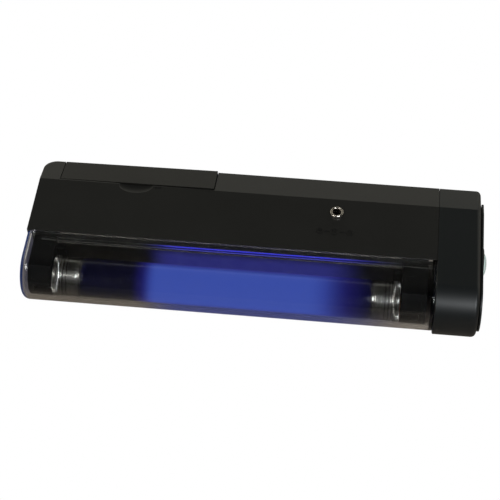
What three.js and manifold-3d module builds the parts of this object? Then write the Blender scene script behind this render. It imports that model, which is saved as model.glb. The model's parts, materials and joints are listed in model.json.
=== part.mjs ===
// Handheld counterfeit bill detector, lying on its underside with its main face up.
//
// A black two-shell housing holds four AA cells, the lamp inverter, a DC jack and a slide switch.
// Along its front a clear trough-shaped window covers a 4 W T5 blacklight tube and its reflector.
// A separate end cap on the right holds a small torch behind a pull-off cover.
//
// Millimetres, +Z up. Pieces are drawn with X from the left end, Y from the crease between the main
// face and the back chamfer (the lamp side is -Y) and Z from the surface that the object lies on. The
// last section shifts them all, so that the origin is the middle of the object's underside.
import * as THREE from 'three';
import { mergeVertices } from 'three/addons/utils/BufferGeometryUtils.js';
import Module from 'manifold-3d';

const wasm = await Module();
wasm.setup();

// ---------------------------------------------------------------- driving dimensions

// Lengths along X
const housingLength = 161.8;
const capEnd = 178.5;
const coverThickness = 0.9;
const bezelStandOut = 0.7;
const lensStandOut = 2.1;
const lensRadius = 4.5;

// Housing and end cap section
const thickness = 25;
const faceDepth = 26.9;
const chamferDepth = 12.7;
const chamferDrop = 3.4;
const undersideRadius = 2;
const backLeftPlanRadius = 5.3;
const capEdgeRadius = 1.8;
const partingHeight = 12.5;
const capRollY = -37.9;
const pocketBackY = 5.3;
const wall = 1.8;
const gap = 0.3;

// Clear window: a trough with two end walls
const windowRadius = 11.85;
const windowRollY = -37.6;
const windowBackY = -27.2;
const windowWall = 1.5;
const windowEndRadius = 3;

// Blacklight tube, T5 size, 4 W length
const lampLength = 135.9;
const lampStart = 12.5;
const lampY = -39.4;
const lampZ = 12.9;
const lampGlassRadius = 7.7;
const lampCapRadius = 7.85;
const lampCapLength = 11.3;
const pinRadius = 1.17;
const pinSpacing = 4.75;
const pinLength = 6.7;

// Battery cells, AA size, in two rows of two
const cellRadius = 7.25;
const cellLength = 50.5;
const cellZ = 11.5;
const rowBackY = 2.4;
const rowFrontY = -12.6;

// Battery door on the back chamfer
const doorStart = 8.4;
const doorEnd = 71.2;
const doorFrontY = 0.8;
const doorBottom = 4.8;
const doorStandOut = 0.5;
const doorStandOutLeft = 0.05;

// DC jack, switch and torch places
const jackX = 121.3;
const jackY = -7.2;
const jackBore = 1.75;
const jackBarrelRadius = 2.2;
const jackRingRadius = 2.65;
const switchX = 143;
const switchZ = 16.5;
const switchTravel = 6;
const knobLength = 7;
const knobHeight = 3.2;
const torchY = -17.5;
const torchZ = 12;

// Screws that hold the two shells together: [x, y]
const screwPlaces = [[18, -22.6], [152, -22.6], [117.5, 6.5], [156.5, 6.5]];

// ---------------------------------------------------------------- derived sizes

const lampEnd = lampStart + lampLength;
const windowZ = thickness - windowRadius;
const windowEnd = housingLength - gap;
const coverStart = capEnd + gap;
const coverEnd = coverStart + coverThickness;
const overallLength = coverEnd + lensStandOut;
const chamferAngle = Math.atan(chamferDrop / chamferDepth);
const backY = chamferDepth + doorStandOut;
const frontY = capRollY - thickness / 2;

// ---------------------------------------------------------------- solids

function solid(geometry) {
  geometry.deleteAttribute('normal');
  geometry.deleteAttribute('uv');
  const merged = mergeVertices(geometry, 1e-4);
  return new wasm.Manifold(new wasm.Mesh({
    numProp: 3,
    vertProperties: new Float32Array(merged.attributes.position.array),
    triVerts: new Uint32Array(merged.index.array),
  }));
}

function geometryOf(manifold) {
  const mesh = manifold.getMesh();
  const geometry = new THREE.BufferGeometry();
  geometry.setAttribute('position', new THREE.BufferAttribute(new Float32Array(mesh.vertProperties), 3));
  geometry.setIndex(new THREE.BufferAttribute(new Uint32Array(mesh.triVerts), 1));
  geometry.computeVertexNormals();
  return geometry;
}

function box([x0, x1], [y0, y1], [z0, z1]) {
  const geometry = new THREE.BoxGeometry(x1 - x0, y1 - y0, z1 - z0);
  return solid(geometry.translate((x0 + x1) / 2, (y0 + y1) / 2, (z0 + z1) / 2));
}

// The whole space between two planes, for cutting pieces at them.
function slabX(x0, x1) {
  return box([x0, x1], [-80, 40], [-20, 60]);
}

function slabY(y0, y1) {
  return box([-20, 220], [y0, y1], [-20, 60]);
}

function slabZ(z0, z1) {
  return box([-20, 220], [-80, 40], [z0, z1]);
}

// A section drawn in (y, z), extruded from x0 to x1. A bevel rounds its end at x1, or at x0.
function alongX(shape, x0, x1, { bevel = 0, bevelAt = 'end', segments = 12, bevelSegments = 4 } = {}) {
  const settings = { depth: x1 - x0, bevelEnabled: false, curveSegments: segments };
  if (bevel > 0) {
    settings.bevelEnabled = true;
    settings.bevelSize = bevel;
    settings.bevelOffset = -bevel;
    settings.bevelThickness = bevel;
    settings.bevelSegments = bevelSegments;
  }
  const geometry = new THREE.ExtrudeGeometry(shape, settings);
  const turn = new THREE.Matrix4().makeBasis(
    new THREE.Vector3(0, 1, 0), new THREE.Vector3(0, 0, 1), new THREE.Vector3(1, 0, 0));
  geometry.applyMatrix4(turn);
  if (bevel === 0) return solid(geometry.translate(x0, 0, 0));
  const shift = bevelAt === 'end' ? x0 - bevel : x0 + bevel;
  return solid(geometry.translate(shift, 0, 0)).intersect(slabX(x0, x1));
}

// A block along X whose section changes evenly from one outline to another with as many points.
function taperedAlongX(startShape, endShape, x0, x1, segments) {
  const settings = { depth: 1, bevelEnabled: false, curveSegments: segments };
  const geometry = new THREE.ExtrudeGeometry(startShape, settings);
  const startPoints = startShape.extractPoints(segments).shape;
  const endPoints = endShape.extractPoints(segments).shape;
  const places = geometry.attributes.position;
  for (let i = 0; i < places.count; i += 1) {
    const here = new THREE.Vector2(places.getX(i), places.getY(i));
    const distances = startPoints.map((point) => point.distanceTo(here));
    const index = distances.indexOf(Math.min(...distances));
    const atEnd = places.getZ(i) > 0.5;
    const point = atEnd ? endPoints[index] : startPoints[index];
    places.setXYZ(i, atEnd ? x1 : x0, point.x, point.y);
  }
  return solid(geometry);
}

function alongZ(shape, z0, z1, segments = 8) {
  const settings = { depth: z1 - z0, bevelEnabled: false, curveSegments: segments };
  return solid(new THREE.ExtrudeGeometry(shape, settings).translate(0, 0, z0));
}

// A turned solid: profile points are [along, radius] and start and end on the axis, or close.
function turned(profile, segments) {
  const points = profile.map(([along, radius]) => new THREE.Vector2(radius, along));
  return new THREE.LatheGeometry(points, segments);
}

function turnedAlongX(profile, segments, y, z) {
  return solid(turned(profile, segments).rotateZ(-Math.PI / 2).translate(0, y, z));
}

function turnedAlongZ(profile, segments, x, y) {
  return solid(turned(profile, segments).rotateX(Math.PI / 2).translate(x, y, 0));
}

function rodProfile(start, end, radius) {
  return [[start, 0], [start, radius], [end, radius], [end, 0]];
}

function rodX(x0, x1, radius, y, z, segments = 24) {
  return turnedAlongX(rodProfile(x0, x1, radius), segments, y, z);
}

function rodZ(z0, z1, radius, x, y, segments = 24) {
  return turnedAlongZ(rodProfile(z0, z1, radius), segments, x, y);
}

// A strip of even thickness along an open line of [y, z] points, drawn as a closed section.
function stripShape(line, stripThickness) {
  const far = line.map(([y, z], i) => {
    const before = line[Math.max(i - 1, 0)];
    const after = line[Math.min(i + 1, line.length - 1)];
    const length = Math.hypot(after[0] - before[0], after[1] - before[1]);
    const across = [(after[1] - before[1]) / length, -(after[0] - before[0]) / length];
    return [y + across[0] * stripThickness, z + across[1] * stripThickness];
  });
  return new THREE.Shape([...line, ...far.reverse()].map(([y, z]) => new THREE.Vector2(y, z)));
}

// ---------------------------------------------------------------- sections in (y, z)

// The back part that housing and end cap share: underside corner, back wall, chamfer and crease.
function drawBack(shape, inset) {
  const cornerSteps = 4;
  const back = chamferDepth - inset;
  const radius = Math.max(undersideRadius - inset, 0.4);
  shape.lineTo(back - radius, inset);
  for (let step = 1; step <= cornerSteps; step += 1) {
    const angle = (Math.PI / 2) * (step / cornerSteps - 1);
    shape.lineTo(back - radius + radius * Math.cos(angle), inset + radius + radius * Math.sin(angle));
  }
  shape.lineTo(back, thickness - inset / Math.cos(chamferAngle) - back * Math.tan(chamferAngle));
  shape.lineTo(-inset * Math.tan(chamferAngle / 2), thickness - inset);
}

function housingSection(inset, front) {
  const shape = new THREE.Shape();
  shape.moveTo(front, inset);
  drawBack(shape, inset);
  shape.lineTo(front, thickness - inset);
  shape.closePath();
  return shape;
}

function capSection(inset) {
  const shape = new THREE.Shape();
  shape.moveTo(0, inset);
  drawBack(shape, inset);
  shape.lineTo(capRollY, thickness - inset);
  shape.absarc(capRollY, thickness / 2, thickness / 2 - inset, Math.PI / 2, Math.PI * 1.5, false);
  return shape;
}

// The window's D, open towards the back.
function windowSection(inset, back) {
  const radius = windowRadius - inset;
  const shape = new THREE.Shape();
  shape.moveTo(back, windowZ - radius);
  shape.lineTo(back, windowZ + radius);
  shape.lineTo(windowRollY, windowZ + radius);
  shape.absarc(windowRollY, windowZ, radius, Math.PI / 2, Math.PI * 1.5, false);
  return shape;
}

// ---------------------------------------------------------------- housing

function housingOutline() {
  const plan = new THREE.Shape();
  const r = backLeftPlanRadius;
  plan.moveTo(0, -faceDepth);
  plan.lineTo(housingLength, -faceDepth);
  plan.lineTo(housingLength, chamferDepth);
  plan.lineTo(r, chamferDepth);
  plan.absarc(r, chamferDepth - r, r, Math.PI / 2, Math.PI, false);
  plan.closePath();
  return alongX(housingSection(0, -faceDepth), 0, housingLength, { segments: 4 })
    .intersect(alongZ(plan, -1, thickness + 1));
}

// One hollow block, open at its right end, which the two shells are cut from.
function housingShell() {
  const hollow = alongX(housingSection(wall, wall - faceDepth), wall, housingLength + 1, { segments: 4 });
  const doorway = box([doorStart - gap, doorEnd + gap], [doorFrontY - gap, backY + 1],
    [doorBottom - gap, thickness + 1]);
  return housingOutline().subtract(hollow).subtract(doorway);
}

// Screw bosses grow out of the walls, and end inside them.
function bossLimits() {
  const inset = wall / 2;
  return alongX(housingSection(inset, inset - faceDepth), inset, housingLength, { segments: 4 });
}

function upperHousing() {
  const bossRadius = 2.4;
  const bossBottom = 6.8;
  const screwHole = 1.5;
  let shell = housingShell().intersect(slabZ(partingHeight + gap / 2, 40));
  const inside = bossLimits();
  for (const [x, y] of screwPlaces) {
    shell = shell.add(rodZ(bossBottom, thickness, bossRadius, x, y, 16).intersect(inside));
    shell = shell.subtract(rodZ(bossBottom - 1, 17, screwHole, x, y, 12));
  }
  const jackHole = jackBarrelRadius + gap;
  return shell.subtract(rodZ(20, 30, jackHole, jackX, jackY, 28))
    .subtract(thumbScoop())
    .subtract(latchSlot())
    .subtract(switchSlot());
}

// A shallow dish for the thumbnail, beside the door's front edge.
function thumbScoop() {
  const [halfLength, halfWidth, depth] = [7, 4.2, 0.9];
  const dish = new THREE.SphereGeometry(1, 40, 24);
  return solid(dish.scale(halfLength, halfWidth, depth).translate(39.5, 0, thickness));
}

// A shallow dent at the door's edge marks its catch.
function latchSlot() {
  const depth = 0.35;
  return box([47.2, 50], [-1.3, -0.3], [thickness - depth, 30]);
}

function switchSlot() {
  const start = switchX - knobLength / 2 - gap;
  const end = switchX + knobLength / 2 + switchTravel + gap;
  return box([start, end], [10, 14], [switchZ - knobHeight / 2 - gap, switchZ + knobHeight / 2 + gap]);
}

function lowerHousing() {
  const bossTop = 6.5;
  const lipFront = 10;
  let shell = housingShell().intersect(slabZ(-1, partingHeight - gap / 2));
  const inside = bossLimits();
  for (const [x, y] of screwPlaces) {
    shell = shell.add(rodZ(0.5, bossTop, 3.5, x, y, 20).intersect(inside));
    shell = shell.subtract(rodZ(-1, 4.5, 2.75, x, y, 20)).subtract(rodZ(4, 8, 1.5, x, y, 12));
  }
  // A lip along the back wall keeps the two shells in line.
  const lip = box([72, 130], [lipFront, lipFront + 0.6], [9, partingHeight + 1.5])
    .add(box([72, 130], [lipFront, lipFront + 1.2], [9, partingHeight - gap]));
  // A rib closes the battery bay on its right.
  const bayRib = box([111.5, 112.7], [-faceDepth + 1, 7.6], [1, 12]);
  return shell.add(lip).add(bayRib);
}

// The door lies flush at its left end and stands proud at its right end. Its tongues reach under the
// face.
function batteryDoor() {
  const outside = taperedAlongX(housingSection(-doorStandOutLeft, -5), housingSection(-doorStandOut, -5),
    doorStart, doorEnd, 4);
  const plate = outside
    .subtract(alongX(housingSection(wall, -6), doorStart - 1, doorEnd + 1, { segments: 4 }))
    .intersect(box([doorStart, doorEnd], [doorFrontY, backY + 1], [doorBottom, 30]));
  let door = plate;
  for (const x of [14, 44, 58]) {
    const tongue = box([x, x + 8], [-2.6, 3], [21.4, 22.8]).add(box([x, x + 8], [0.9, 3], [21.4, 24]));
    door = door.add(tongue);
  }
  return door;
}

function clearWindow() {
  const outer = alongX(windowSection(0, -15), 0, windowEnd,
    { bevel: windowEndRadius, bevelAt: 'start', segments: 10, bevelSegments: 4 })
    .intersect(slabY(-60, windowBackY));
  const cavity = alongX(windowSection(windowWall, -15), windowWall, windowEnd - windowWall,
    { segments: 10 });
  const rail = box([6.6, windowEnd - 1], [-30.4, -29.2], [22.9, 24]);
  return outer.subtract(cavity).add(rail);
}

// ---------------------------------------------------------------- end cap and torch

function endCap() {
  const partition = 1.5;
  const pocketInset = 3.2;
  const pocket = alongX(capSection(pocketInset), housingLength + partition, capEnd + 1, { segments: 8 })
    .intersect(slabY(-60, pocketBackY));
  return alongX(capSection(0), housingLength, capEnd, { bevel: capEdgeRadius, segments: 12 })
    .subtract(pocket)
    .subtract(rodX(housingLength - 1, housingLength + 3, 1.4, 0, 9, 12));
}

function torchCover() {
  const plate = alongX(capSection(2.3), coverStart, coverEnd, { segments: 10 })
    .intersect(slabY(-60, pocketBackY + 1.2));
  const rim = (inset, back) => alongX(capSection(inset), 175.5, coverStart, { segments: 6 })
    .intersect(slabY(-60, back));
  const spigot = rim(3.5, pocketBackY - gap).subtract(rim(4.6, pocketBackY - 1.4));
  const bezel = turnedAlongX([
    [coverStart, 0], [coverStart, 7.3], [coverEnd, 7.3], [coverEnd + 0.4, 7.1],
    [coverEnd + bezelStandOut, 6.4], [coverEnd + bezelStandOut, 0],
  ], 32, torchY, torchZ);
  return plate.add(spigot).add(bezel).subtract(rodX(170, 190, lensRadius + gap, torchY, torchZ, 32));
}

function torchLens() {
  return turnedAlongX([
    [177.6, 0], [177.6, 5.4], [capEnd, 5.4], [capEnd, lensRadius], [overallLength - 1.2, lensRadius],
    [overallLength - 0.5, 3.5], [overallLength - 0.15, 2], [overallLength, 0],
  ], 28, torchY, torchZ);
}

function torchReflector() {
  return turnedAlongX([
    [165, 2.7], [165, 3.3], [169, 4.5], [173, 5.8], [177.2, 6.9], [177.2, 6.3], [173, 5.2], [169, 3.9],
    [165, 2.7],
  ], 24, torchY, torchZ);
}

function torchBulb() {
  return turnedAlongX([
    [168.3, 0], [168.3, 1.5], [169.6, 1.9], [171.4, 1.9], [172.6, 1.2], [173, 0],
  ], 16, torchY, torchZ);
}

function torchBulbBase() {
  return turnedAlongX([
    [163.7, 0], [163.7, 0.9], [164.2, 0.9], [164.2, 2.3], [168, 2.3], [168, 0],
  ], 16, torchY, torchZ);
}

// ---------------------------------------------------------------- lamp

function lampTube() {
  const start = lampStart + 1.6;
  const end = lampEnd - 1.6;
  const neck = lampCapLength + 0.1;
  const neckRadius = 7;
  const bore = 6.4;
  return turnedAlongX([
    [start, bore], [start, neckRadius], [lampStart + neck, neckRadius],
    [lampStart + neck + 0.5, lampGlassRadius], [lampEnd - neck - 0.5, lampGlassRadius],
    [lampEnd - neck, neckRadius], [end, neckRadius], [end, bore], [start, bore],
  ], 40, lampY, lampZ);
}

// The aluminium cap: a crimped ring, a groove and a smooth band. `from` is its outer face, `way` its
// direction towards the glass.
function lampCap(from, way) {
  const profile = [
    [0.1, 6.8], [0.1, 7.3], [0.6, lampCapRadius], [2.8, lampCapRadius], [3.3, 7.55], [4.1, 7.55],
    [4.6, lampCapRadius], [lampCapLength - 0.3, lampCapRadius], [lampCapLength, 7.6], [lampCapLength, 7.3],
    [1.6, 7.3], [1.6, 6.8], [0.1, 6.8],
  ].map(([along, radius]) => [from + way * along, radius]);
  return turnedAlongX(way > 0 ? profile : profile.reverse(), 36, lampY, lampZ);
}

function lampBase(from, way) {
  const ends = [from, from + way * 1.3].sort((a, b) => a - b);
  return rodX(ends[0], ends[1], 6.4, lampY, lampZ, 24);
}

function lampPin(from, way, side) {
  const ends = [from - way * gap, from - way * (gap + pinLength)].sort((a, b) => a - b);
  return rodX(ends[0], ends[1], pinRadius, lampY, lampZ + side * pinSpacing / 2, 12);
}

// A lamp holder: a block with flat faces inside the window, a round recess for turning the pins, a
// slot towards the front for putting them in, and a foot behind the lamp's end.
function lampHolder(x0, x1, way) {
  const recessRadius = 5.2;
  const slotHalf = 1.6;
  const face = way > 0 ? x1 : x0;
  const span = (a, b) => [face + way * a, face + way * b].sort((p, q) => p - q);
  const [recessStart, recessEnd] = span(-7.2, 1);
  const outline = [
    [windowBackY, 3.9], [-41, 4.3], [-45.1, 6.8], [-46.6, 12], [-45.6, 16.5], [-41.8, 21.4],
    [windowBackY, 21.6],
  ];
  const block = alongX(new THREE.Shape(outline.map(([y, z]) => new THREE.Vector2(y, z)).reverse()), x0, x1);
  const foot = box(span(-1, 3.5), [-31.2, -28.8], [6.6, 19.2]);
  return block.add(foot)
    .subtract(rodX(recessStart, recessEnd, recessRadius, lampY, lampZ, 24))
    .subtract(box([recessStart, recessEnd], [-60, lampY], [lampZ - slotHalf, lampZ + slotHalf]));
}

// A brass leaf above or below the pins.
function lampContact(face, way, side) {
  const line = [[0.8, 4.1], [2.5, 3.9], [4.6, 3.9], [6.7, 4.3]];
  const sheet = 0.4;
  const width = 2.4;
  const surface = (lift) => line.map(
    ([along, height]) => new THREE.Vector2(face - way * along, lampZ + side * (height + lift)));
  const shape = new THREE.Shape([...surface(0), ...surface(sheet).reverse()]);
  const geometry = new THREE.ExtrudeGeometry(shape, { depth: width, bevelEnabled: false });
  return solid(geometry.rotateX(Math.PI / 2).translate(0, lampY + width / 2, 0));
}

// The bent sheet behind the lamp.
function lampReflector() {
  const line = [
    [-30.3, 3.9], [-28.8, 4.5], [-27.9, 5.8], [-27.55, 12.9], [-27.9, 20], [-28.8, 21.3], [-30.3, 21.9],
  ];
  return alongX(stripShape(line.reverse(), 0.4), 12.6, lampEnd - 0.1);
}

// ---------------------------------------------------------------- batteries

function batteryCell(start, y, way) {
  const radius = cellRadius;
  const can = cellLength - 1.5;
  const profile = [
    [0, 0], [0, radius - 0.6], [0.6, radius], [can - 0.6, radius], [can, radius - 0.6], [can, 2.75],
    [cellLength - 0.3, 2.75], [cellLength, 2.3], [cellLength, 0],
  ];
  const placed = way > 0
    ? profile.map(([along, r]) => [start + along, r])
    : profile.map(([along, r]) => [start + cellLength - along, r]).reverse();
  return turnedAlongX(placed, 24, y, cellZ);
}

// A tapered coil spring along X, wide at its foot.
class TaperedCoil extends THREE.Curve {
  constructor(footX, tipX, y) {
    super();
    Object.assign(this, { footX, tipX, y });
  }

  getPoint(t, target = new THREE.Vector3()) {
    const turns = 3.5;
    const radius = 4.6 - 2.2 * t;
    const angle = 2 * Math.PI * turns * t;
    return target.set(
      this.footX + (this.tipX - this.footX) * t,
      this.y + radius * Math.cos(angle),
      cellZ + radius * Math.sin(angle));
  }
}

function batterySpring(footX, tipX, y) {
  const wire = new THREE.Shape();
  wire.absarc(0, 0, 0.4, 0, 2 * Math.PI, false);
  const path = new TaperedCoil(footX, tipX, y);
  return solid(new THREE.ExtrudeGeometry(wire, { steps: 56, extrudePath: path, curveSegments: 3 }));
}

// A contact plate with a raised dimple.
function contactPlate(x, y0, y1, dimpleY, way) {
  const sheet = 0.4;
  const face = way > 0 ? x + sheet : x;
  const dimple = [face - way * 0.2, face + way * 0.8].sort((a, b) => a - b);
  return box([x, x + sheet], [y0, y1], [5.2, 17.6]).add(rodX(dimple[0], dimple[1], 2, dimpleY, cellZ, 16));
}

// ---------------------------------------------------------------- electronics

function inverterBoard() {
  let board = box([114, 159], [-18.5, 2.3], [5.5, 7.1]);
  for (const [x, y] of [[116.5, -16], [156.5, -16], [156.5, 0]]) {
    board = board.subtract(rodZ(5, 8, 1.2, x, y, 12));
  }
  return board;
}

// An E-shaped ferrite core, open at both sides of its middle leg.
function transformerCore() {
  const outside = box([134, 150], [-17, -3], [9.5, 16.5]);
  const windows = box([136.2, 140], [-20, 0], [8, 18]).add(box([144, 147.8], [-20, 0], [8, 18]));
  const through = windows.intersect(box([100, 200], [-14.8, -5.2], [0, 30]));
  return outside.subtract(through);
}

function transformerWinding() {
  return box([136.6, 147.4], [-14.4, -5.6], [7.4, 18.6])
    .subtract(box([139.7, 144.3], [-20, 0], [9.2, 16.8]));
}

function powerTransistor() {
  return box([126, 133.4], [-1.2, 1.2], [7.4, 18.4]).subtract(rodAcross(129.7, 15.4, 1.6));
}

function rodAcross(x, z, radius) {
  const rod = new THREE.CylinderGeometry(radius, radius, 20, 16).translate(x, 0, z);
  return solid(rod);
}

function capacitor(x, y) {
  return turnedAlongZ([
    [7.4, 0], [7.4, 2.7], [7.9, 3], [8.6, 3], [8.9, 2.8], [9.2, 3], [16.6, 3], [17, 2.6], [17, 0],
  ], 20, x, y);
}

function jackSocket() {
  return turnedAlongZ([
    [10, 0], [10, 4.2], [21.6, 4.2], [21.6, jackBore], [11.5, jackBore], [11.5, 0],
  ], 24, jackX, jackY);
}

function jackRing() {
  const seat = thickness + gap;
  return turnedAlongZ([
    [21.9, jackBore], [21.9, jackBarrelRadius], [seat, jackBarrelRadius], [seat, jackRingRadius],
    [seat + 0.6, jackRingRadius], [seat + 0.9, 2.4], [seat + 0.9, 2], [seat + 0.6, jackBore],
    [21.9, jackBore],
  ], 32, jackX, jackY);
}

function switchBody() {
  return box([switchX - 4, switchX + 10], [3.2, 9.1], [switchZ - 4, switchZ + 4])
    .subtract(box([switchX - 2.5, switchX + 8.5], [7, 10], [switchZ - 1.2, switchZ + 1.2]));
}

function switchKnob() {
  const outerY = backY;
  let knob = box([switchX - knobLength / 2, switchX + knobLength / 2], [10.2, outerY],
    [switchZ - knobHeight / 2, switchZ + knobHeight / 2])
    .add(box([switchX - 6.5, switchX + 6.5], [9.4, 10.6], [switchZ - 2.6, switchZ + 2.6]))
    .add(box([switchX - 1.2, switchX + 1.2], [7.6, 10], [switchZ - 0.8, switchZ + 0.8]));
  for (const step of [-2, -1, 0, 1, 2]) {
    const x = switchX + step * 1.1;
    knob = knob.subtract(box([x - 0.25, x + 0.25], [outerY - 0.4, outerY + 1], [0, 30]));
  }
  return knob;
}

// ---------------------------------------------------------------- fasteners

function housingScrew(x, y) {
  const shank = turnedAlongZ([
    [2.4, 0], [2.4, 1.6], [2.9, 2.3], [3.5, 2.4], [4.2, 2.4], [4.2, 1.2], [15, 1.2], [16.4, 0],
  ], 16, x, y);
  const slot = box([x - 1.5, x + 1.5], [y - 0.35, y + 0.35], [2, 3.3])
    .add(box([x - 0.35, x + 0.35], [y - 1.5, y + 1.5], [2, 3.3]));
  return shank.subtract(slot);
}

// ---------------------------------------------------------------- materials

const finishes = {
  blackPlastic: { color: 0x1a1a1b, roughness: 0.55, metalness: 0 },
  holderPlastic: { color: 0x0b0b0b, roughness: 0.5, metalness: 0 },
  clearPlastic: { color: 0xdfe4ea, roughness: 0.08, metalness: 0, transparent: true, opacity: 0.3 },
  lampGlass: { color: 0x141a78, roughness: 0.12, metalness: 0 },
  aluminium: { color: 0xc9cac8, roughness: 0.3, metalness: 1 },
  phenolic: { color: 0x4a2014, roughness: 0.6, metalness: 0 },
  brass: { color: 0xb08d45, roughness: 0.35, metalness: 1 },
  steel: { color: 0x9a9a9a, roughness: 0.35, metalness: 1 },
  nickel: { color: 0xcfcdc6, roughness: 0.2, metalness: 1 },
  cellSleeve: { color: 0x2c3a33, roughness: 0.4, metalness: 0.2 },
  board: { color: 0x7a5a2c, roughness: 0.6, metalness: 0 },
  ferrite: { color: 0x2e2c2b, roughness: 0.8, metalness: 0 },
  copper: { color: 0xa6602f, roughness: 0.35, metalness: 1 },
  sleeveBlue: { color: 0x1d3158, roughness: 0.4, metalness: 0 },
  clearGlass: { color: 0xe6ecea, roughness: 0.05, metalness: 0, transparent: true, opacity: 0.4 },
};

// ---------------------------------------------------------------- assembly

const detector = new THREE.Group();
detector.position.set(-overallLength / 2, -(frontY + backY) / 2, 0);

function place(name, finish, manifold) {
  const mesh = new THREE.Mesh(geometryOf(manifold), new THREE.MeshStandardMaterial(finishes[finish]));
  mesh.name = name;
  detector.add(mesh);
}

place('upper_housing', 'blackPlastic', upperHousing());
place('lower_housing', 'blackPlastic', lowerHousing());
place('battery_door', 'blackPlastic', batteryDoor());
place('clear_window', 'clearPlastic', clearWindow());
place('end_cap', 'blackPlastic', endCap());

place('torch_cover', 'blackPlastic', torchCover());
place('torch_lens', 'clearGlass', torchLens());
place('torch_reflector', 'nickel', torchReflector());
place('torch_bulb', 'clearGlass', torchBulb());
place('torch_bulb_base', 'brass', torchBulbBase());

place('lamp_reflector', 'aluminium', lampReflector());
place('lamp_tube', 'lampGlass', lampTube());
const lampSides = [
  { side: 'left', end: lampStart, way: 1, holder: [3, lampStart - gap] },
  { side: 'right', end: lampEnd, way: -1, holder: [lampEnd + gap, 158.6] },
];
for (const { side, end, way, holder } of lampSides) {
  place(`lamp_cap_${side}`, 'aluminium', lampCap(end, way));
  place(`lamp_base_${side}`, 'phenolic', lampBase(end, way));
  place(`lamp_holder_${side}`, 'holderPlastic', lampHolder(holder[0], holder[1], way));
  for (const [level, up] of [['upper', 1], ['lower', -1]]) {
    place(`lamp_pin_${side}_${level}`, 'brass', lampPin(end, way, up));
    place(`lamp_contact_${side}_${level}`, 'brass', lampContact(end - way * gap, way, up));
  }
}

const rowStartBack = 8.4;
const rowStartFront = 3.6;
const secondCell = cellLength + gap;
place('battery_cell_back_1', 'cellSleeve', batteryCell(rowStartBack, rowBackY, 1));
place('battery_cell_back_2', 'cellSleeve', batteryCell(rowStartBack + secondCell, rowBackY, 1));
place('battery_cell_front_1', 'cellSleeve', batteryCell(rowStartFront, rowFrontY, -1));
place('battery_cell_front_2', 'cellSleeve', batteryCell(rowStartFront + secondCell, rowFrontY, -1));
place('battery_spring_left', 'steel', batterySpring(3.2, 7.7, rowBackY));
place('battery_spring_right', 'steel', batterySpring(110.1, 105.6, rowFrontY));
place('battery_bridge', 'steel', contactPlate(2.1, -17.5, 7.5, rowFrontY, 1));
place('battery_terminal_plus', 'steel', contactPlate(110.8, -3.4, 7.5, rowBackY, -1));
place('battery_terminal_minus', 'steel', box([110.8, 111.2], [-17.5, -4.2], [5.2, 17.6]));

place('inverter_board', 'board', inverterBoard());
place('transformer_core', 'ferrite', transformerCore());
place('transformer_winding', 'copper', transformerWinding());
place('power_transistor', 'ferrite', powerTransistor());
place('capacitor_1', 'sleeveBlue', capacitor(119, -14.5));
place('capacitor_2', 'sleeveBlue', capacitor(127, -14.5));
place('jack_socket', 'blackPlastic', jackSocket());
place('jack_ring', 'nickel', jackRing());
place('switch_body', 'steel', switchBody());
place('switch_knob', 'blackPlastic', switchKnob());

screwPlaces.forEach(([x, y], i) => place(`housing_screw_${i + 1}`, 'steel', housingScrew(x, y)));

export default detector;
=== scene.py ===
"""Looks of the handheld counterfeit bill detector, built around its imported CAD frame.

Places are in metres in the frame's axes: +X to the torch end, -Y to the lamp side, +Z up. Sizes, profiles
and the numbers in patterns are in millimetres, and MM turns them into metres.
"""
import json
import math

import bmesh
import bpy
from mathutils import Matrix, Vector


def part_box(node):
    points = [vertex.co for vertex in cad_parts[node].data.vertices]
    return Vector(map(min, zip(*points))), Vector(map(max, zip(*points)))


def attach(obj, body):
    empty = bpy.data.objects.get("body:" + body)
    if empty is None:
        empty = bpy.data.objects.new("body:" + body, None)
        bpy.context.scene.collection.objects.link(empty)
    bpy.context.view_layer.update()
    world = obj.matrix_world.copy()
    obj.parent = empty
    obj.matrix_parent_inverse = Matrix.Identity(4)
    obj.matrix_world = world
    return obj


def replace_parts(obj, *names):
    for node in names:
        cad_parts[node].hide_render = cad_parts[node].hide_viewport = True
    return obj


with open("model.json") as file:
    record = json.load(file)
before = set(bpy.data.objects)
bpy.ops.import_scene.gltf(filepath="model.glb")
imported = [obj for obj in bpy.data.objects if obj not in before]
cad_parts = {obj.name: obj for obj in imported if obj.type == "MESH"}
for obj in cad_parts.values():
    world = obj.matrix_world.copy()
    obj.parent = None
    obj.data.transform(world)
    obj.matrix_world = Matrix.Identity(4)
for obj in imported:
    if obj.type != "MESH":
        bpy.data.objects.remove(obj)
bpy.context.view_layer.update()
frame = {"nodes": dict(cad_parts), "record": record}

MM = 0.001

# ------------------------------------------------------------------ camera and places

CAMERA_AZIMUTH = 6.92
CAMERA_ELEVATION = 51.45
CAMERA_ROLL = -1.1
CAMERA_DISTANCE = 0.5848
CAMERA_LENS = 108.0
SENSOR_WIDTH = 36.0

LIGHT_ELEVATION = 47.0
LIGHT_DISTANCE = 1.1
LIGHT_WIDTH = 0.5
LIGHT_HEIGHT = 0.28
LIGHTS = (("key", 38.0, 6.8, (0.96, 1.0, 1.03)), ("fill", -51.0, 4.5, (1.0, 0.99, 0.95)))
CAMERA_AIM = (88.94, 29.02)  # right of the left end, in front of the crease

# The stage. The camera sees floor and world as pure white. These are what the object reflects instead.
FLOOR_SIZE = 4.0
FLOOR_COLOUR = (0.165, 0.137, 0.108)
FLOOR_AHEAD = (0.05, 0.045, 0.04)
FLOOR_LIT = (0.065, 0.07, 0.2)
FLOOR_FADE = (10.0, 45.0)
# Painted light: a paler patch of floor by the cap, standing in for more light falling there.
FLOOR_PAINTED_LIGHT = (0.3, 0.26, 0.22)
FLOOR_PAINTED_LIGHT_SPAN = (-30.0, 12.0)  # either side of the cap's seam
SKY_COLOUR = (1.0, 0.98, 0.86)
SKY_HEIGHTS = (0.3, 0.65)
SKY_LEVELS = (0.72, 0.03)
SKY_FRONT = 0.04
SKY_FRONT_SPAN = (-0.3, 0.5)

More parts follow.
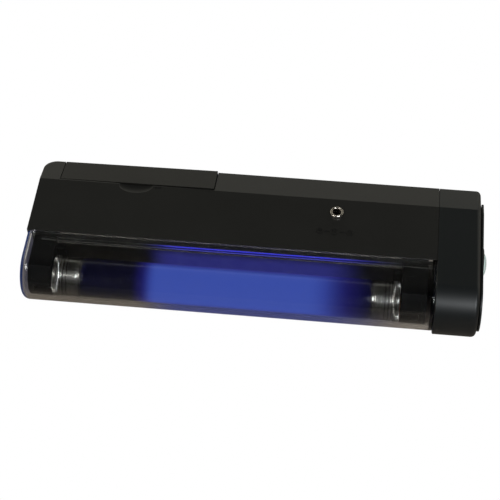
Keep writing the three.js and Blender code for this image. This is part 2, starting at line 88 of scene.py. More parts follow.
# Light of the lit tube. Spans run from the tube's left end: dark, full, fading, dark again.
GLOW_MIDDLE = (0.043, 0.078, 0.385)
GLOW_EDGE = (0.024, 0.026, 0.18)
GLOW_SIDE = 50.0
GLOW_HALO = (0.014, 0.012, 0.15)
ARC_SPAN = (33, 40, 98, 116)
HALO_SPAN = (29, 38, 103, 126)
WINDOW_GLOW = (0.0025, 0.007, 0.028)
RAIL_GLOW = (0.025, 0.025, 0.5)
REFLECTOR_GLOW = (0.018, 0.019, 0.15, 1.0)

# Details of the pieces
SEAM_WIDTH = 0.12
CHAMFER_DEPTH = 12.7
# Painted shade: the caps' colour is darkened in lines at these places in their grooves.
CAP_SHADED_GROOVES = (2.8, 4.2, 9.3)  # from each end of the lamp
RAIL_EDGES = (3.2, 2.0)  # in front of the window's back edge
RAIL_DEPTH = 0.6
RAIL_UNDER = 1.52
RAIL_LINE = 2.2

HOUSING_LOW, HOUSING_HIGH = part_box("upper_housing")
CAP_LOW, CAP_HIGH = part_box("end_cap")
WINDOW_LOW, WINDOW_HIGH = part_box("clear_window")
LAMP_LOW, LAMP_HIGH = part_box("lamp_tube")
LEFT = HOUSING_LOW.x
SEAM = CAP_LOW.x
FACE = HOUSING_HIGH.z
CREASE = CAP_HIGH.y - CHAMFER_DEPTH * MM
LAMP_AXIS = (LAMP_LOW + LAMP_HIGH) / 2


# ------------------------------------------------------------------ material building


class Material:
    """A Principled material with short calls for its nodes. Patterns are measured in millimetres."""

    def __init__(self, name, colour, roughness, metallic=0.0):
        self.material = bpy.data.materials.new(name)
        self.material.use_nodes = True
        self.tree = self.material.node_tree
        self.shader = self.tree.nodes["Principled BSDF"]
        self.output = self.tree.nodes["Material Output"]
        self.set("Base Color", (*colour, 1.0))
        self.set("Roughness", roughness)
        self.set("Metallic", metallic)
        place = self.node("ShaderNodeTexCoord")
        scale = self.node("ShaderNodeVectorMath", operation="SCALE")
        self.tree.links.new(place.outputs["Object"], scale.inputs[0])
        scale.inputs["Scale"].default_value = 1 / MM
        self.place = scale.outputs[0]

    def node(self, kind, **settings):
        made = self.tree.nodes.new(kind)
        for key, value in settings.items():
            setattr(made, key, value)
        return made

    def set(self, socket, value):
        self.shader.inputs[socket].default_value = value

    def link(self, source, socket):
        self.tree.links.new(source, self.shader.inputs[socket])

    def feed(self, source, target):
        """Puts a socket's link or a plain value into an input."""
        if isinstance(source, bpy.types.NodeSocket):
            self.tree.links.new(source, target)
        else:
            target.default_value = source

    def stretched(self, x=1.0, y=1.0, z=1.0):
        """The place with each axis scaled, for patterns that run along one way."""
        times = self.node("ShaderNodeVectorMath", operation="MULTIPLY")
        self.tree.links.new(self.place, times.inputs[0])
        times.inputs[1].default_value = (x, y, z)
        return times.outputs[0]

    def noise(self, scale, detail=3.0, rough=0.5, place=None):
        noise = self.node("ShaderNodeTexNoise")
        self.tree.links.new(place or self.place, noise.inputs["Vector"])
        noise.inputs["Scale"].default_value = scale
        noise.inputs["Detail"].default_value = detail
        noise.inputs["Roughness"].default_value = rough
        return noise.outputs["Fac"]

    def cells(self, scale):
        cells = self.node("ShaderNodeTexVoronoi", feature="F1")
        self.tree.links.new(self.place, cells.inputs["Vector"])
        cells.inputs["Scale"].default_value = scale
        return cells.outputs["Distance"]

    def axis(self, name):
        parts = self.node("ShaderNodeSeparateXYZ")
        self.tree.links.new(self.place, parts.inputs[0])
        return parts.outputs[name]

    def spread(self, value, low, high, to_low=0.0, to_high=1.0, smooth=True):
        """Maps low..high to to_low..to_high, with soft ends."""
        ranged = self.node("ShaderNodeMapRange")
        ranged.interpolation_type = "SMOOTHSTEP" if smooth else "LINEAR"
        self.feed(value, ranged.inputs["Value"])
        for name, number in (("From Min", low), ("From Max", high), ("To Min", to_low), ("To Max", to_high)):
            ranged.inputs[name].default_value = number
        return ranged.outputs["Result"]

    def maths(self, operation, a, b=0.0):
        node = self.node("ShaderNodeMath", operation=operation)
        self.feed(a, node.inputs[0])
        self.feed(b, node.inputs[1])
        return node.outputs[0]

    def mix(self, share, a, b):
        """A colour mix: a at 0, b at 1. a and b are colours or sockets."""
        mixer = self.node("ShaderNodeMix", data_type="RGBA")
        self.feed(share, mixer.inputs[0])
        for value, target in ((a, mixer.inputs[6]), (b, mixer.inputs[7])):
            self.feed(value if isinstance(value, bpy.types.NodeSocket) else (*value, 1.0), target)
        return mixer.outputs[2]

    def bump(self, height, depth_mm, strength):
        bump = self.node("ShaderNodeBump")
        self.tree.links.new(height, bump.inputs["Height"])
        bump.inputs["Distance"].default_value = depth_mm * MM
        bump.inputs["Strength"].default_value = strength
        self.tree.links.new(bump.outputs["Normal"], self.shader.inputs["Normal"])

    def let_lamps_through(self):
        """Rays from lamps pass a clear surface, so that what is behind it is lit."""
        path = self.node("ShaderNodeLightPath")
        clear = self.node("ShaderNodeBsdfTransparent")
        mixer = self.node("ShaderNodeMixShader")
        self.tree.links.new(path.outputs["Is Shadow Ray"], mixer.inputs[0])
        self.tree.links.new(self.shader.outputs[0], mixer.inputs[1])
        self.tree.links.new(clear.outputs[0], mixer.inputs[2])
        self.tree.links.new(mixer.outputs[0], self.output.inputs["Surface"])


def moulded_plastic(name, colour, roughness, grain=1.0, shine=0.5, cap_colour=None):
    """Spark-textured ABS: a fine grain, slow changes of gloss, and a few dust-like lighter specks.

    cap_colour is a bluer tint from the cap's seam rightwards, for the end cap and the torch cover.
    """
    m = Material(name, colour, roughness)
    m.set("Specular IOR Level", shine)
    fine = m.noise(5.5, detail=2.0)
    slow = m.noise(0.05, detail=2.0)
    specks = m.spread(m.cells(0.45), 0.0, 0.09, 1.0, 0.0)
    worn = tuple(c * 1.18 for c in colour)
    dusty = tuple(c * 2.2 for c in colour)
    body = m.mix(slow, colour, worn)
    if cap_colour:
        on_cap = m.spread(m.axis("X"), SEAM / MM - 0.1, SEAM / MM, smooth=False)
        body = m.mix(on_cap, body, cap_colour)
    m.link(m.mix(specks, body, dusty), "Base Color")
    gloss = m.maths("ADD", m.maths("MULTIPLY", fine, 0.8), m.maths("MULTIPLY", slow, 0.2))
    m.link(m.spread(gloss, 0.3, 0.7, roughness - 0.04, roughness + 0.05), "Roughness")
    m.bump(m.maths("ADD", fine, m.maths("MULTIPLY", m.cells(7.0), 0.4)), 0.01 * grain, 0.5)
    return m.material


def along_tube(m, dark, full, fading, dark_again):
    """1 from full to fading, and 0 outside dark and dark_again, measured from the tube's left end."""
    along = m.axis("X")
    start = LAMP_LOW.x / MM
    return m.maths("MULTIPLY", m.spread(along, start + dark, start + full),
                   m.spread(along, start + fading, start + dark_again, 1.0, 0.0))


def lamp_reach(m, soft):
    """Stands in for the arc's light on things near the tube: 1 along its middle, with ends as wide as soft."""
    return along_tube(m, 36 - 4 * soft, 38 + 6 * soft, 104 - soft, 104 + 22 * soft)


def clear_plastic(name, colour, glows=False, clearness=1.0):
    """Polished clear plastic with a little haze.

    With glows, its left end, underside and rail emit a little light, in place of what they would scatter.
    """
    m = Material(name, colour, 0.02)
    m.set("Transmission Weight", clearness)
    m.set("IOR", 1.49)
    m.link(m.spread(m.noise(0.2, detail=4.0), 0.4, 0.8, 0.0, 0.05), "Roughness")
    if glows:
        start = WINDOW_LOW.x / MM
        end_wall = m.spread(m.axis("X"), start + 0.6, start + 1.9, 1.0, 0.0)
        underside = m.spread(m.axis("Z"), 2.0, 5.0, 1.0, 0.0)
        top = WINDOW_HIGH.z / MM - RAIL_UNDER
        rail_height = m.spread(m.axis("Z"), top - 0.04, top - 0.02, 1.0, 0.0, smooth=False)
        from_edge = m.maths("ABSOLUTE", m.maths("ADD", m.axis("Y"), RAIL_LINE - WINDOW_HIGH.y / MM))
        rail = m.maths("MULTIPLY", rail_height, m.spread(from_edge, 0.2, 0.3, 1.0, 0.0, smooth=False))
        reach = lamp_reach(m, 1.6)
        m.link(m.mix(m.maths("MULTIPLY", rail, reach), WINDOW_GLOW, RAIL_GLOW), "Emission Color")
        lit = m.maths("MULTIPLY", m.maths("MAXIMUM", underside, rail), reach)
        m.link(m.maths("ADD", end_wall, lit), "Emission Strength")
    m.let_lamps_through()
    return m.material


def reflector_sheet():
    """Dull aluminium sheet, with the lamp's light on it near the tube."""
    m = drawn_metal("reflector_sheet", (0.16, 0.15, 0.135), 0.36, (0.1, 3.0, 3.0), 0.00002, 0.2)
    height = m.spread(m.axis("Z"), LAMP_AXIS.z / MM + 2.0, LAMP_HIGH.z / MM + 1.0, 1.0, 0.05)
    m.set("Emission Color", REFLECTOR_GLOW)
    m.link(m.maths("MULTIPLY", height, lamp_reach(m, 0.8)), "Emission Strength")
    return m.material


def outward_side(m):
    """1 on the tube's upper front side, GLOW_SIDE degrees up, and 0 a quarter turn round from there.

    The direction is fixed in the world. It is within 2 degrees of the camera's elevation and is not the
    window's, which faces straight forward, so the tube's edges look darker from the front and above only.
    """
    radius = (LAMP_HIGH.z - LAMP_LOW.z) / 2
    rise = math.radians(GLOW_SIDE)
    from_axis = m.node("ShaderNodeVectorMath", operation="SUBTRACT")
    m.tree.links.new(m.node("ShaderNodeNewGeometry").outputs["Position"], from_axis.inputs[0])
    from_axis.inputs[1].default_value = LAMP_AXIS
    side = m.node("ShaderNodeVectorMath", operation="DOT_PRODUCT")
    m.tree.links.new(from_axis.outputs[0], side.inputs[0])
    side.inputs[1].default_value = (0.0, -math.cos(rise) / radius, math.sin(rise) / radius)
    return side.outputs["Value"]


def lamp_aluminium():
    """Drawn aluminium with painted shade: darker lines in the grooves beside each bead."""
    m = drawn_metal("lamp_aluminium", (0.26, 0.255, 0.24), 0.22, (2.0, 0.2, 0.2), 0.00002, 0.1)
    half = (LAMP_HIGH.x - LAMP_LOW.x) / 2 / MM
    from_middle = m.maths("ABSOLUTE", m.maths("SUBTRACT", m.axis("X"), LAMP_AXIS.x / MM))
    from_end = m.maths("SUBTRACT", half, from_middle)
    groove_shade_distance = None
    for place in CAP_SHADED_GROOVES:
        away = m.maths("ABSOLUTE", m.maths("SUBTRACT", from_end, place))
        groove_shade_distance = away if groove_shade_distance is None else m.maths("MINIMUM", groove_shade_distance, away)
    plain = m.shader.inputs["Base Color"].links[0].from_socket
    # Painted shade: the colour goes dark near each groove.
    m.link(m.mix(m.spread(groove_shade_distance, 0.1, 0.25), (0.04, 0.04, 0.04), plain), "Base Color")
    return m.material


def lamp_glass():
    """Deep blue filter glass. The arc lights its middle, turns violet towards the ends and leaves them dark."""
    m = Material("lamp_glass", (0.002, 0.002, 0.008), 0.1)
    bright = along_tube(m, *ARC_SPAN)
    halo = along_tube(m, *HALO_SPAN)
    lit = m.mix(m.spread(outward_side(m), 0.15, 0.65), GLOW_EDGE, GLOW_MIDDLE)
    m.link(m.mix(bright, GLOW_HALO, lit), "Emission Color")
    m.link(halo, "Emission Strength")
    cloud = m.noise(0.12, detail=2.0)
    m.link(m.mix(cloud, (0.0015, 0.0015, 0.004), (0.002, 0.002, 0.012)), "Base Color")
    m.link(m.spread(m.noise(0.3), 0.3, 0.7, 0.09, 0.16), "Roughness")
    return m.material


def drawn_metal(name, colour, roughness, across=(6.0, 0.25, 0.25), depth=0.004, streaks=1.0):
    """Drawn or rolled metal with fine lines. across scales the pattern along each axis."""
    m = Material(name, colour, roughness, 1.0)
    lines = m.noise(1.0, detail=5.0, place=m.stretched(*across))
    slow = m.noise(0.15, detail=2.0)
    darker = tuple(c * 0.78 for c in colour)
    m.link(m.mix(m.spread(slow, 0.3, 0.7), darker, colour), "Base Color")
    low, high = roughness * (1 - 0.3 * streaks), roughness * (1 + 0.5 * streaks)
    m.link(m.spread(lines, 0.3, 0.7, low, high), "Roughness")
    m.bump(lines, depth, 0.6)
    return m


def speckled(name, colour, roughness, scale, metallic=0.0, depth=0.01, other=None):
    """A granular matt surface, such as ferrite, phenolic or epoxy."""
    m = Material(name, colour, roughness, metallic)
    grain = m.noise(scale, detail=4.0)
    m.link(m.mix(m.spread(grain, 0.35, 0.65), colour, other or tuple(c * 1.6 for c in colour)), "Base Color")
    m.link(m.spread(grain, 0.3, 0.7, roughness - 0.05, min(1.0, roughness + 0.1)), "Roughness")
    m.bump(grain, depth, 0.6)
    return m.material


MATERIALS = {
    "black_plastic": moulded_plastic("black_plastic", (0.0075, 0.0074, 0.0066), 0.42,
                                     cap_colour=(0.0045, 0.006, 0.0065)),
    "door_plastic": moulded_plastic("door_plastic", (0.0075, 0.0072, 0.006), 0.44, 1.0, 0.36),
    "holder_plastic": moulded_plastic("holder_plastic", (0.0014, 0.0014, 0.0014), 0.5, 0.6, 0.06),
    "clear_plastic": clear_plastic("clear_plastic", (0.95, 0.96, 0.97), glows=True),
    "lamp_glass": lamp_glass(),
    "lamp_aluminium": lamp_aluminium(),
    "reflector_sheet": reflector_sheet(),
    "phenolic": speckled("phenolic", (0.16, 0.05, 0.025), 0.55, 1.2),
    "brass": drawn_metal("brass", (0.72, 0.52, 0.22), 0.28).material,
    "spring_steel": drawn_metal("spring_steel", (0.56, 0.56, 0.55), 0.3).material,
    "nickel": drawn_metal("nickel", (0.8, 0.74, 0.66), 0.22, (1.5, 1.5, 4.0), 0.001).material,
    "cell_sleeve": speckled("cell_sleeve", (0.02, 0.035, 0.03), 0.35, 0.6, depth=0.003),
    "board": speckled("board", (0.28, 0.16, 0.05), 0.6, 0.8),
    "ferrite": speckled("ferrite", (0.035, 0.032, 0.03), 0.75, 2.0),
    "copper": drawn_metal("copper", (0.65, 0.27, 0.1), 0.35, (0.3, 0.3, 9.0), 0.05).material,
    "transistor_body": speckled("transistor_body", (0.015, 0.015, 0.016), 0.6, 3.0),
    "capacitor_sleeve": speckled("capacitor_sleeve", (0.02, 0.04, 0.16), 0.3, 0.5, depth=0.003),
    "clear_glass": clear_plastic("clear_glass", (0.85, 0.97, 0.93), clearness=0.3),
    "torch_mirror": drawn_metal("torch_mirror", (0.85, 0.85, 0.84), 0.08).material,
    "screw_steel": drawn_metal("screw_steel", (0.5, 0.5, 0.5), 0.35).material,
}
SLOTS = {part["node"]: part["material_slot"] for part in frame["record"]["subparts"]}
BODY_OF = {node: body for body, nodes in frame["record"]["behaviour"]["bodies"].items() for node in nodes}


# ------------------------------------------------------------------ mesh building


def new_piece(name, bm, node, smooth_deg=40.0):
    """Turns a bmesh into a piece that rides on the node's body and takes its finish."""
    bmesh.ops.recalc_face_normals(bm, faces=bm.faces)
    mesh = bpy.data.meshes.new(name)
    bm.to_mesh(mesh)
    bm.free()
    for polygon in mesh.polygons:
        polygon.use_smooth = True
    mesh.set_sharp_from_angle(angle=math.radians(smooth_deg))
    piece = bpy.data.objects.new(name, mesh)
    bpy.context.scene.collection.objects.link(piece)
    mesh.materials.append(MATERIALS[SLOTS[node]])
    flat = piece.modifiers.new("flat_faces_stay_flat", "WEIGHTED_NORMAL")
    flat.keep_sharp = True
    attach(piece, BODY_OF[node])
    return piece


def on_crease(edge):
    """True along the shallow line where the face meets the back chamfer."""
    near = 0.05 * MM
    return all(abs(v.co.y - CREASE) < near and abs(v.co.z - FACE) < near for v in edge.verts)


def open_seam(bm):
    """Draws the shells' right ends back a little, so that the seam to the end cap shows as a fine line.

    The gap goes right through the wall, so it shows as a small notch where it meets the outline.
    """
    for vert in bm.verts:
        if abs(vert.co.x - SEAM) < 0.01 * MM:
            vert.co.x -= SEAM_WIDTH * MM


def refine(node, round_mm=0.2, sharp_deg=32.0, steps=3):
    """A finer copy of a CAD node: flat faces joined up and sharp edges rounded."""
    shell = node in ("upper_housing", "lower_housing")
    weld = 0.03 if shell else 0.002
    bm = bmesh.new()
    bm.from_mesh(frame["nodes"][node].data)
    bmesh.ops.remove_doubles(bm, verts=bm.verts, dist=weld * MM)
    if shell:
        open_seam(bm)
    bmesh.ops.dissolve_limit(bm, angle_limit=math.radians(0.5), verts=bm.verts, edges=bm.edges)
    if round_mm > 0:
        limit = math.radians(sharp_deg)
        edges = [e for e in bm.edges if e.is_manifold and (e.calc_face_angle() > limit or on_crease(e))]
        bmesh.ops.bevel(bm, geom=edges, offset=round_mm * MM, offset_type="OFFSET", segments=steps,
                        profile=0.5, affect="EDGES", clamp_overlap=True)
    piece = new_piece(f"{node}_fine", bm, node)
    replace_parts(piece, node)
    return piece


def add_turned(bm, profile, segments, centre, axis, radius_at=None):
    """Turns a closed (along, radius) profile in millimetres about an axis, "X" or "Z".

    radius_at changes the radius for an angle step, for knurls and flats.
    """
    rings = []
    for step in range(segments):
        angle = 2 * math.pi * step / segments
        ring = []
        for along, radius in profile:
            r = radius_at(step, along, radius) if radius_at else radius
            a, b = r * math.cos(angle), r * math.sin(angle)
            place = Vector((along, a, b)) if axis == "X" else Vector((a, b, along))
            ring.append(bm.verts.new(centre + place * MM))
        rings.append(ring)
    for here, ahead in zip(rings, rings[1:] + rings[:1]):
        for k in range(len(profile)):
            after = (k + 1) % len(profile)
            bm.faces.new((here[k], here[after], ahead[after], ahead[k]))


def arc(centre, radius, start_deg, end_deg, steps):
    """Points on an arc, for profiles."""
    turn = (end_deg - start_deg) / steps
    angles = [math.radians(start_deg + turn * i) for i in range(steps + 1)]
    return [(centre[0] + radius * math.cos(t), centre[1] + radius * math.sin(t)) for t in angles]


# ------------------------------------------------------------------ pieces


def window_line(inset, arc_steps=64):
    """The window's section as (y, z) metres from its top back edge round the front to its underside."""
    height = WINDOW_HIGH.z - WINDOW_LOW.z
    radius = height / 2
    centre_y = WINDOW_LOW.y + radius
    centre_z = WINDOW_LOW.z + radius
    line = [(WINDOW_HIGH.y, centre_z + radius - inset)]
    for step in range(arc_steps + 1):
        angle = math.pi / 2 + math.pi * step / arc_steps
        reach = radius - inset
        line.append((centre_y + reach * math.cos(angle), centre_z + reach * math.sin(angle)))
    line.append((WINDOW_HIGH.y, centre_z - radius + inset))
    return line


def make_window():
    """The clear trough: one skin with rounded ends, given its wall thickness inwards."""
    wall = 1.5 * MM
    left_radius, right_radius = 3.0 * MM, 0.35 * MM
    left_steps, right_steps = 8, 3
    support = 0.4 * MM
    places = []
    for step in range(left_steps + 1):
        angle = math.pi / 2 * step / left_steps
        x = WINDOW_LOW.x + left_radius * (1 - math.cos(angle))
        places.append((x, left_radius * (1 - math.sin(angle))))
    places.append((WINDOW_LOW.x + left_radius + support, 0.0))
    places.append((WINDOW_HIGH.x - right_radius - support, 0.0))
    for step in range(right_steps + 1):
        angle = math.pi / 2 * step / right_steps
        x = WINDOW_HIGH.x - right_radius * (1 - math.sin(angle))
        places.append((x, right_radius * (1 - math.cos(angle))))
    bm = bmesh.new()
    rings = [[bm.verts.new((x, y, z)) for y, z in window_line(inset)] for x, inset in places]
    for here, ahead in zip(rings, rings[1:]):
        for k in range(len(here) - 1):
            bm.faces.new((here[k], ahead[k], ahead[k + 1], here[k + 1]))
    bm.faces.new(rings[0])
    bm.faces.new(reversed(rings[-1]))
    bmesh.ops.recalc_face_normals(bm, faces=bm.faces)
    end_x = rings[0][0].co.x
    end_face = next(f for f in bm.faces
                    if len(f.verts) > 4 and abs(f.calc_center_median().x - end_x) < wall)
    if end_face.normal.x > 0:
        bmesh.ops.reverse_faces(bm, faces=bm.faces)
    window = bpy.data.objects.new("window_skin", bpy.data.meshes.new("window_skin"))
    bm.to_mesh(window.data)
    bm.free()
    bpy.context.scene.collection.objects.link(window)
    thick = window.modifiers.new("thick", "SOLIDIFY")
    thick.thickness = wall
    thick.offset = -1.0
    thick.use_even_offset = True
    thick.use_rim = True

    bpy.context.view_layer.update()
    shape = window.evaluated_get(bpy.context.evaluated_depsgraph_get())
    bm = bmesh.new()
    bm.from_mesh(shape.to_mesh())
    bpy.data.objects.remove(window)
    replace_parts(new_piece("clear_window_fine", bm, "clear_window", 30.0), "clear_window")


def make_window_rail():
    """The rail moulded under the window's top edge."""
    bm = bmesh.new()
    near, far = RAIL_EDGES
    from_left, from_right = 6.6, 1.6
    top = WINDOW_HIGH.z - RAIL_UNDER * MM
    low = Vector((WINDOW_LOW.x + from_left * MM, WINDOW_HIGH.y - near * MM, top - RAIL_DEPTH * MM))
    high = Vector((WINDOW_HIGH.x - from_right * MM, WINDOW_HIGH.y - far * MM, top))
    size = Matrix.Diagonal((*(high - low), 1.0))
    bmesh.ops.create_cube(bm, size=1.0, matrix=Matrix.Translation((low + high) / 2) @ size)
    bmesh.ops.bevel(bm, geom=bm.edges[:], offset=0.12 * MM, offset_type="OFFSET", segments=2,
                    profile=0.5, affect="EDGES", clamp_overlap=True)
    new_piece("window_rail", bm, "clear_window", 30.0)


def make_lamp_tube():
    """The glass, drawn in to a neck inside each cap."""
    low, high = LAMP_LOW.x / MM, LAMP_HIGH.x / MM
    glass_radius = (LAMP_HIGH.z - LAMP_LOW.z) / 2 / MM
    neck, neck_radius, bore = 9.8, 7.0, 6.4
    shoulder = 0.7
    profile = [(low, bore), (low, neck_radius), (low + neck, neck_radius)]
    profile += arc((low + neck + shoulder, glass_radius - shoulder), shoulder, 180, 90, 6)
    profile += arc((high - neck - shoulder, glass_radius - shoulder), shoulder, 90, 0, 6)
    profile += [(high - neck, neck_radius), (high, neck_radius), (high, bore)]
    centre = Vector((0.0, LAMP_AXIS.y, LAMP_AXIS.z))
    bm = bmesh.new()
    add_turned(bm, profile, 96, centre, "X")
    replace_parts(new_piece("lamp_tube_fine", bm, "lamp_tube"), "lamp_tube")


def make_lamp_cap(side, way):
    """A drawn aluminium cap: knurled crimp at its outer end, a groove, and a band between two beads."""
    low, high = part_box(f"lamp_cap_{side}")
    outer = (low.x if way > 0 else high.x) / MM
    radius = (high.z - low.z) / 2 / MM
    length = (high.x - low.x) / MM
    teeth, steps_each = 56, 4
    knurl_depth = 0.28
    band = radius - 0.16
    bead = 0.42
    profile = [(0.0, 6.8), (0.0, radius - 0.7)] + arc((0.45, radius - 0.45), 0.45, 180, 90, 4)
    profile += [(1.4, radius), (2.3, radius), (2.6, radius - 0.35), (3.0, radius - 0.45)]
    profile += arc((3.6, radius - bead), bead, 160, 20, 7)
    profile += [(4.15, band), (4.5, band), (9.0, band), (9.35, band)]
    profile += arc((9.95, radius - bead), bead, 160, 20, 7)
    profile += [(10.6, band), (length - 0.35, band - 0.05), (length, radius - 0.5)]
    profile += [(length, 7.3), (1.5, 7.3), (1.5, 6.8)]

    def knurled(step, along, r):
        in_crimp = abs(along - outer) < 2.5 and r > radius - 0.2
        return r - knurl_depth if in_crimp and step % steps_each >= steps_each / 2 else r

    placed = [(outer + way * along, r) for along, r in profile]
    bm = bmesh.new()
    centre = Vector((0.0, LAMP_AXIS.y, LAMP_AXIS.z))
    add_turned(bm, placed, teeth * steps_each, centre, "X", knurled)
    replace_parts(new_piece(f"lamp_cap_{side}_fine", bm, f"lamp_cap_{side}"), f"lamp_cap_{side}")


def make_jack_ring():
    """The jack's flanged nickel barrel: a domed lip round the bore."""
    low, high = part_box("jack_ring")
    centre = Vector(((low.x + high.x) / 2, (low.y + high.y) / 2, 0.0))
    outer = (high.x - low.x) / 2 / MM
    bore, barrel = 1.75, 2.3
    foot, top, seat = low.z / MM, high.z / MM, FACE / MM + 0.3
    lip = (outer - bore) / 2
    profile = [(foot, bore), (foot, barrel), (seat, barrel), (seat, outer)]
    dome = [(outer - lip + lip * math.cos(t), top - lip + lip * math.sin(t))
            for t in (math.pi * i / 10 for i in range(11))]
    profile += [(z, r) for r, z in dome]
    bm = bmesh.new()
    add_turned(bm, profile, 72, centre, "Z")
    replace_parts(new_piece("jack_ring_fine", bm, "jack_ring"), "jack_ring")


def make_torch_lens():
    """The domed lens of the torch."""
    low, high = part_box("torch_lens")
    centre = Vector((0.0, (low.y + high.y) / 2, (low.z + high.z) / 2))
    flange = (high.z - low.z) / 2 / MM
    body, back, tip = 4.5, low.x / MM, high.x / MM
    seat = CAP_HIGH.x / MM
    dome = 1.3
    profile = [(back, 0.05), (back, flange), (seat, flange), (seat, body), (tip - dome, body)]
    profile += [(tip - dome + dome * math.sin(t), body * math.cos(t)) for t in
                (math.pi / 2 * i / 8 for i in range(1, 8))] + [(tip, 0.05)]
    bm = bmesh.new()
    add_turned(bm, profile, 64, centre, "X")
    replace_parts(new_piece("torch_lens_fine", bm, "torch_lens"), "torch_lens")


def add_bar(bm, x0, x1, y0, y1, height):
    """A raised bar on the face, from (x0, y0) to (x1, y1) in millimetres, with sloping sides."""
    base = FACE - 0.05 * MM
    slope = 0.08
    corners = ((x0, y0), (x1, y0), (x1, y1), (x0, y1))
    inner = ((x0 + slope, y0 + slope), (x1 - slope, y0 + slope),
             (x1 - slope, y1 - slope), (x0 + slope, y1 - slope))
    low = [bm.verts.new((x * MM, y * MM, base)) for x, y in corners]
    high = [bm.verts.new((x * MM, y * MM, FACE + height * MM)) for x, y in inner]
    bm.faces.new(low[::-1])
    bm.faces.new(high)
    for k in range(4):
        after = (k + 1) % 4
        bm.faces.new((low[k], low[after], high[after], high[k]))


def add_raised_arc(bm, x, y, radius, line, start_deg, end_deg, height, steps=32):
    """A raised line along an arc on the face."""
    base = FACE - 0.05 * MM
    full = end_deg - start_deg >= 360
    sections = []
    for i in range(steps if full else steps + 1):
        angle = math.radians(start_deg + (end_deg - start_deg) * i / steps)
        ring = []
        for r, z in ((radius - line / 2, base), (radius - line / 3, FACE + height * MM),
                     (radius + line / 3, FACE + height * MM), (radius + line / 2, base)):
            ring.append(bm.verts.new(((x + r * math.cos(angle)) * MM, (y + r * math.sin(angle)) * MM, z)))
        sections.append(ring)
    pairs = list(zip(sections, sections[1:] + (sections[:1] if full else [])))
    for here, ahead in pairs:
        for k in range(4):
            after = (k + 1) % 4
            bm.faces.new((here[k], ahead[k], ahead[after], here[after]))
    if not full:
        bm.faces.new(sections[0])
        bm.faces.new(sections[-1][::-1])


def make_polarity_mark():
    """The generic polarity mark moulded in front of the jack: minus, sleeve and tip, plus."""
    low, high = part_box("jack_ring")
    left_of_jack, ahead_of_jack = 0.2, 9.4
    x, y = (low.x + high.x) / 2 / MM - left_of_jack, (low.y + high.y) / 2 / MM - ahead_of_jack
    height, line = 0.24, 0.36
    reach, ring, sign = 5.9, 1.1, 0.5
    bar_at, bar_half = 3.0, 1.1
    sleeve, tip, tip_line = 1.35, 0.28, 0.3
    bm = bmesh.new()
    for side in (-1, 1):
        add_raised_arc(bm, x + side * reach, y, ring, line, 0, 360, height)
        for middle, half in ((x + side * reach, sign), (x + side * bar_at, bar_half)):
            add_bar(bm, middle - half, middle + half, y - line / 2, y + line / 2, height)
    for end in (-sign, line / 2):
        add_bar(bm, x + reach - line / 2, x + reach + line / 2, y + end, y + end + sign - line / 2, height)
    add_raised_arc(bm, x, y, sleeve, line, 40, 320, height)
    add_raised_arc(bm, x, y, tip, tip_line, 0, 360, height, 16)
    new_piece("polarity_mark", bm, "upper_housing")


for name, node in frame["nodes"].items():
    node.data.materials.clear()
    node.data.materials.append(MATERIALS[SLOTS[name]])

BUILT_ANEW = ("clear_window", "lamp_tube", "lamp_cap_left", "lamp_cap_right", "jack_ring", "torch_lens")
ROUNDED_LESS = {"battery_door": 0.12, "lamp_reflector": 0.05, "jack_socket": 0.1, "switch_knob": 0.1}
ROUND_ENDED = ("battery_spring_left", "battery_spring_right", "torch_reflector", "torch_bulb")
for name in frame["nodes"]:
    if name in ROUND_ENDED:
        refine(name, 0.0)
    elif name not in BUILT_ANEW:
        outer_shell = BODY_OF[name] != "lamp" and SLOTS[name] in ("black_plastic", "holder_plastic")
        refine(name, ROUNDED_LESS.get(name, 0.2 if outer_shell else 0.08))

make_window()
make_window_rail()
make_lamp_tube()
make_lamp_cap("left", 1)
make_lamp_cap("right", -1)
make_jack_ring()
make_torch_lens()
make_polarity_mark()


# ------------------------------------------------------------------ stage, light and camera


def make_floor():
    """Pure white to the camera. To the object it is a warm grey: darker ahead, with painted lamp light that
    makes it bluer by the lamp and a painted pool of light that makes it paler by the cap.
    """
    bm = bmesh.new()
    bmesh.ops.create_grid(bm, x_segments=1, y_segments=1, size=FLOOR_SIZE)
    mesh = bpy.data.meshes.new("floor")
    bm.to_mesh(mesh)
    bm.free()
    floor = bpy.data.objects.new("floor", mesh)
    bpy.context.scene.collection.objects.link(floor)
    m = Material("floor_paper", FLOOR_COLOUR, 0.9)
    fibre = m.noise(0.3, detail=3.0)
    paper = m.mix(fibre, FLOOR_COLOUR, tuple(c * 0.94 for c in FLOOR_COLOUR))
    front = WINDOW_LOW.y / MM
    ahead = m.spread(m.axis("Y"), front - FLOOR_FADE[1], front - FLOOR_FADE[0], 1.0, 0.0)
    lit = m.mix(lamp_reach(m, 1.6), paper, FLOOR_LIT)
    shaded = m.mix(ahead, lit, FLOOR_AHEAD)
    # Painted light: the floor is paler by the cap.
    painted_light_by_cap = m.spread(m.axis("X"), *(SEAM / MM + edge for edge in FLOOR_PAINTED_LIGHT_SPAN))
    m.link(m.mix(painted_light_by_cap, shaded, FLOOR_PAINTED_LIGHT), "Base Color")
    path = m.node("ShaderNodeLightPath")
    white = m.node("ShaderNodeEmission")
    mixer = m.node("ShaderNodeMixShader")
    m.tree.links.new(path.outputs["Is Camera Ray"], mixer.inputs[0])
    m.tree.links.new(m.shader.outputs[0], mixer.inputs[1])
    m.tree.links.new(white.outputs[0], mixer.inputs[2])
    m.tree.links.new(mixer.outputs[0], m.output.inputs["Surface"])
    mesh.materials.append(m.material)


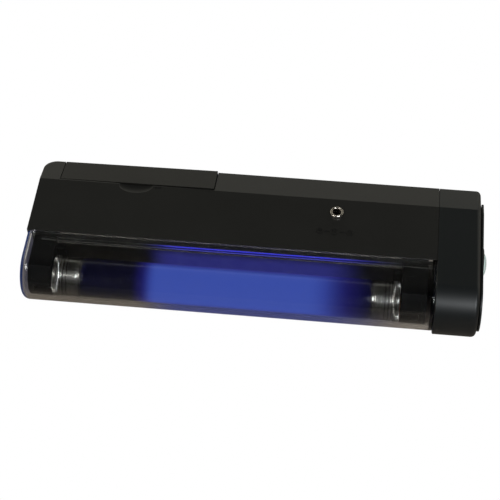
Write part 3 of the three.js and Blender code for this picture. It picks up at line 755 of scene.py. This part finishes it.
def make_sky():
    """Pure white to the camera. To the object it is dim, and lit only low down at the back."""
    world = bpy.data.worlds.new("studio")
    world.use_nodes = True
    tree = world.node_tree
    back = tree.nodes["Background"]

    def ranged(source, from_low, from_high, to_low, to_high):
        node = tree.nodes.new("ShaderNodeMapRange")
        node.interpolation_type = "SMOOTHSTEP"
        tree.links.new(source, node.inputs["Value"])
        for key, number in (("From Min", from_low), ("From Max", from_high),
                            ("To Min", to_low), ("To Max", to_high)):
            node.inputs[key].default_value = number
        return node.outputs["Result"]

    place = tree.nodes.new("ShaderNodeTexCoord")
    parts = tree.nodes.new("ShaderNodeSeparateXYZ")
    tree.links.new(place.outputs["Generated"], parts.inputs[0])
    times = tree.nodes.new("ShaderNodeMath")
    times.operation = "MULTIPLY"
    tree.links.new(ranged(parts.outputs["Z"], *SKY_HEIGHTS, *SKY_LEVELS), times.inputs[0])
    tree.links.new(ranged(parts.outputs["Y"], *SKY_FRONT_SPAN, SKY_FRONT, 1.0), times.inputs[1])
    tree.links.new(times.outputs[0], back.inputs["Strength"])
    back.inputs["Color"].default_value = (*SKY_COLOUR, 1.0)

    path = tree.nodes.new("ShaderNodeLightPath")
    white = tree.nodes.new("ShaderNodeBackground")
    mixer = tree.nodes.new("ShaderNodeMixShader")
    white.inputs["Color"].default_value = (1.0, 1.0, 1.0, 1.0)
    tree.links.new(path.outputs["Is Camera Ray"], mixer.inputs[0])
    tree.links.new(back.outputs[0], mixer.inputs[1])
    tree.links.new(white.outputs[0], mixer.inputs[2])
    tree.links.new(mixer.outputs[0], tree.nodes["World Output"].inputs["Surface"])
    bpy.context.scene.world = world


def add_light(name, azimuth_deg, elevation_deg, distance, power, colour, target):
    """A softbox. Azimuth 0 is the front, -Y, and turns towards +X."""
    azimuth, elevation = math.radians(azimuth_deg), math.radians(elevation_deg)
    way = Vector((math.sin(azimuth) * math.cos(elevation),
                  -math.cos(azimuth) * math.cos(elevation), math.sin(elevation)))
    light = bpy.data.lights.new(name, "AREA")
    light.shape = "RECTANGLE"
    light.size = LIGHT_WIDTH
    light.size_y = LIGHT_HEIGHT
    light.energy = power
    light.color = colour
    lamp = bpy.data.objects.new(name, light)
    lamp.location = target + way * distance
    lamp.rotation_euler = way.to_track_quat("Z", "Y").to_euler()
    bpy.context.scene.collection.objects.link(lamp)


def make_camera():
    """The camera at the photograph's angle. Returns the point that it looks at."""
    azimuth = math.radians(CAMERA_AZIMUTH)
    elevation = math.radians(CAMERA_ELEVATION)
    roll = math.radians(CAMERA_ROLL)
    forward = Vector((-math.sin(azimuth) * math.cos(elevation),
                      math.cos(azimuth) * math.cos(elevation), -math.sin(elevation)))
    level = Vector((math.cos(azimuth), math.sin(azimuth), 0.0))
    up = level.cross(forward)
    right = level * math.cos(roll) + up * math.sin(roll)
    above = right.cross(forward)
    aim_right, aim_ahead = CAMERA_AIM
    target = Vector((LEFT + aim_right * MM, CREASE - aim_ahead * MM, FACE))
    data = bpy.data.cameras.new("camera")
    data.lens = CAMERA_LENS
    data.sensor_width = SENSOR_WIDTH
    camera = bpy.data.objects.new("camera", data)
    turn = Matrix((right, above, -forward)).transposed().to_4x4()
    camera.matrix_world = Matrix.Translation(target - forward * CAMERA_DISTANCE) @ turn
    bpy.context.scene.collection.objects.link(camera)
    bpy.context.scene.camera = camera
    return target


make_floor()
make_sky()
view_target = make_camera()
for light_name, azimuth_deg, power, colour in LIGHTS:
    add_light(light_name, azimuth_deg, LIGHT_ELEVATION, LIGHT_DISTANCE, power, colour, view_target)
bpy.context.scene.view_settings.view_transform = "Standard"
